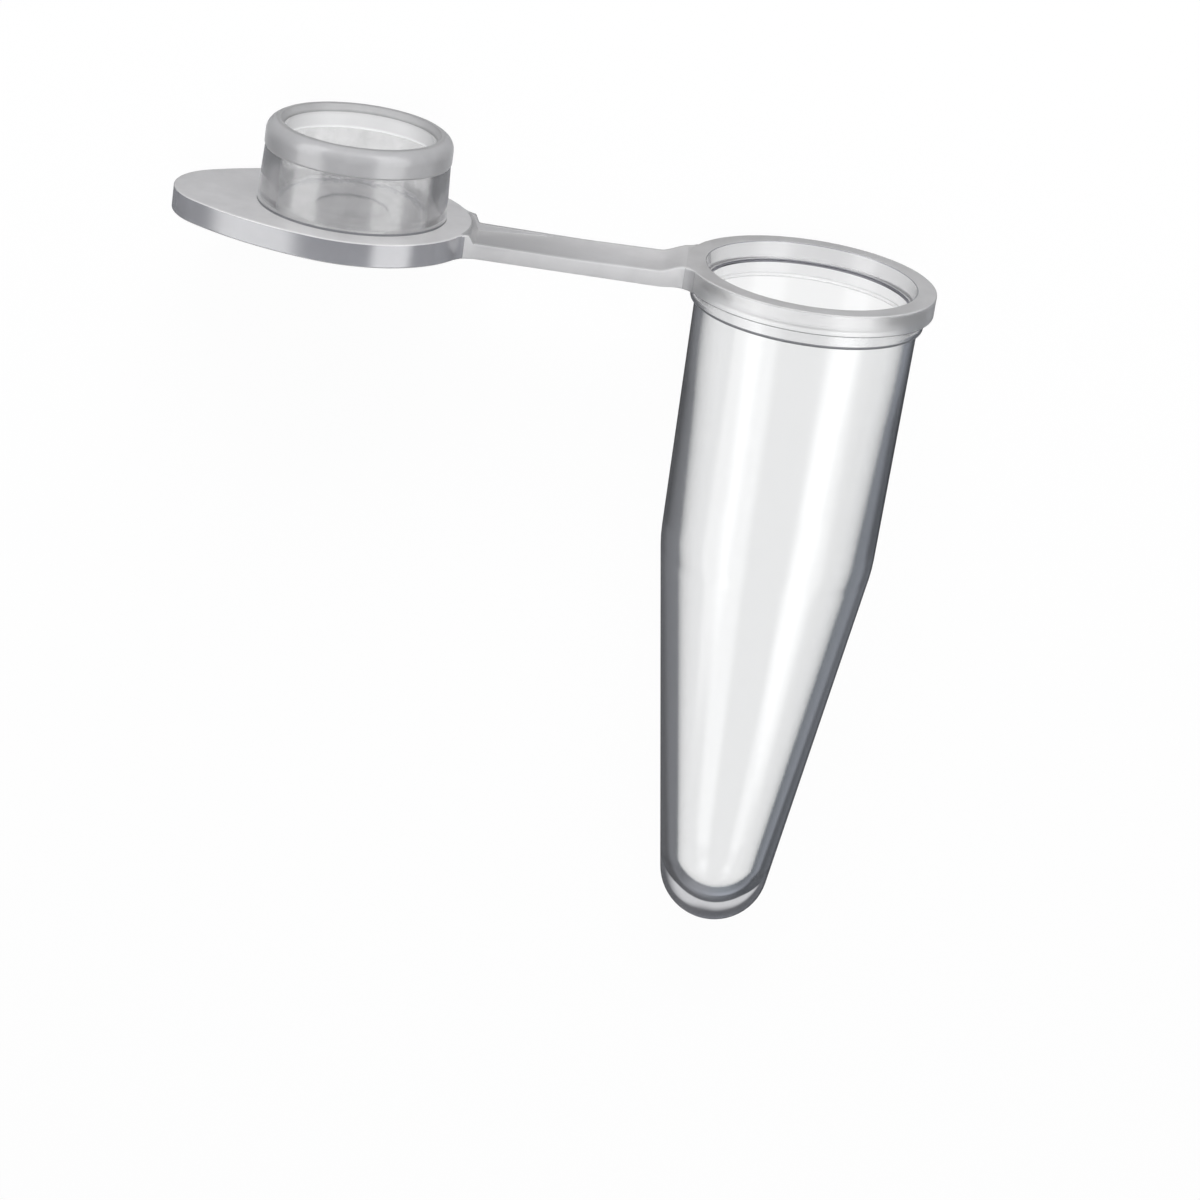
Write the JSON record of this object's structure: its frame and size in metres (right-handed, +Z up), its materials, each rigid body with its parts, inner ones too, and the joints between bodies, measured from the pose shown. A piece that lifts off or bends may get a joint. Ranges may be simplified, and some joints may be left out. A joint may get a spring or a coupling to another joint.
{
  "type": "microcentrifuge tube",
  "caption": "Small tapered plastic tube with a round tip, a collared mouth and a tethered snap lid whose hollow plug closes the mouth.",
  "frame": {"origin": "middle of the footprint, on the surface the tube lies on", "axes": "+Z up from that surface, +Y the way the mouth points (the axis rises by the cone's half angle), -X towards the open lid"},
  "size_m": [0.0396, 0.0416, 0.0142],
  "materials": {
    "polypropylene": "clear moulded plastic, frosted on the collar, strap, lid plate and sealing bead"
  },
  "bodies": {
    "tube": {"tube": "polypropylene"},
    "lid": {"lid": "polypropylene"}
  },
  "joints": [
    {"name": "lid_hinge", "type": "hinge", "parent": "tube", "child": "lid", "pos_m": [0.00135, 0.01585, 0.00707], "axis": [0.0598, 0.142, -0.9881], "range_deg": [0, 180]}
  ]
}
